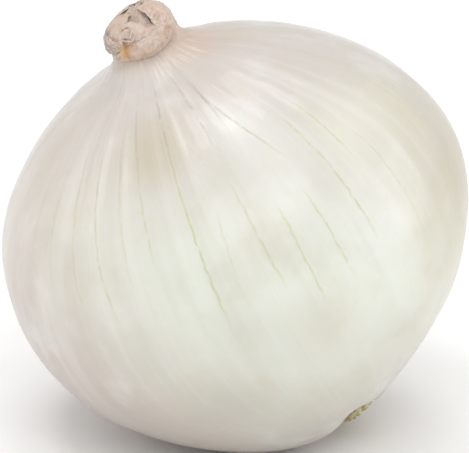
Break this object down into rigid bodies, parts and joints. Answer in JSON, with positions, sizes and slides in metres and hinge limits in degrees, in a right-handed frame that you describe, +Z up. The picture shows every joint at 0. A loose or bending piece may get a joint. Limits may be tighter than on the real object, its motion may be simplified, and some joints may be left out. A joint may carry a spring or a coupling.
{
  "type": "onion",
  "caption": "Whole white onion lying on its side: round bulb with shiny skin, crumpled dry neck and trimmed root plate.",
  "frame": {"origin": "centre of the small flat spot the onion rests on", "axes": "+Z up, +X to the right and +Y away from the viewer in the picture's view; the neck leans 26.55 degrees from +Z towards -X, the root plate is low on the +X side"},
  "size_m": [0.0885, 0.09, 0.0879],
  "materials": {
    "bulb": "smooth waxy skin with a soft gloss, white with a green and yellow tint and fine olive veins",
    "dry_neck": "dry, crumpled and matte, pinkish tan",
    "root_plate": "dry, fibrous and matte, olive-yellow"
  },
  "bodies": {
    "root": {"bulb": "bulb", "dry_neck": "dry_neck", "root_plate": "root_plate"}
  },
  "joints": []
}
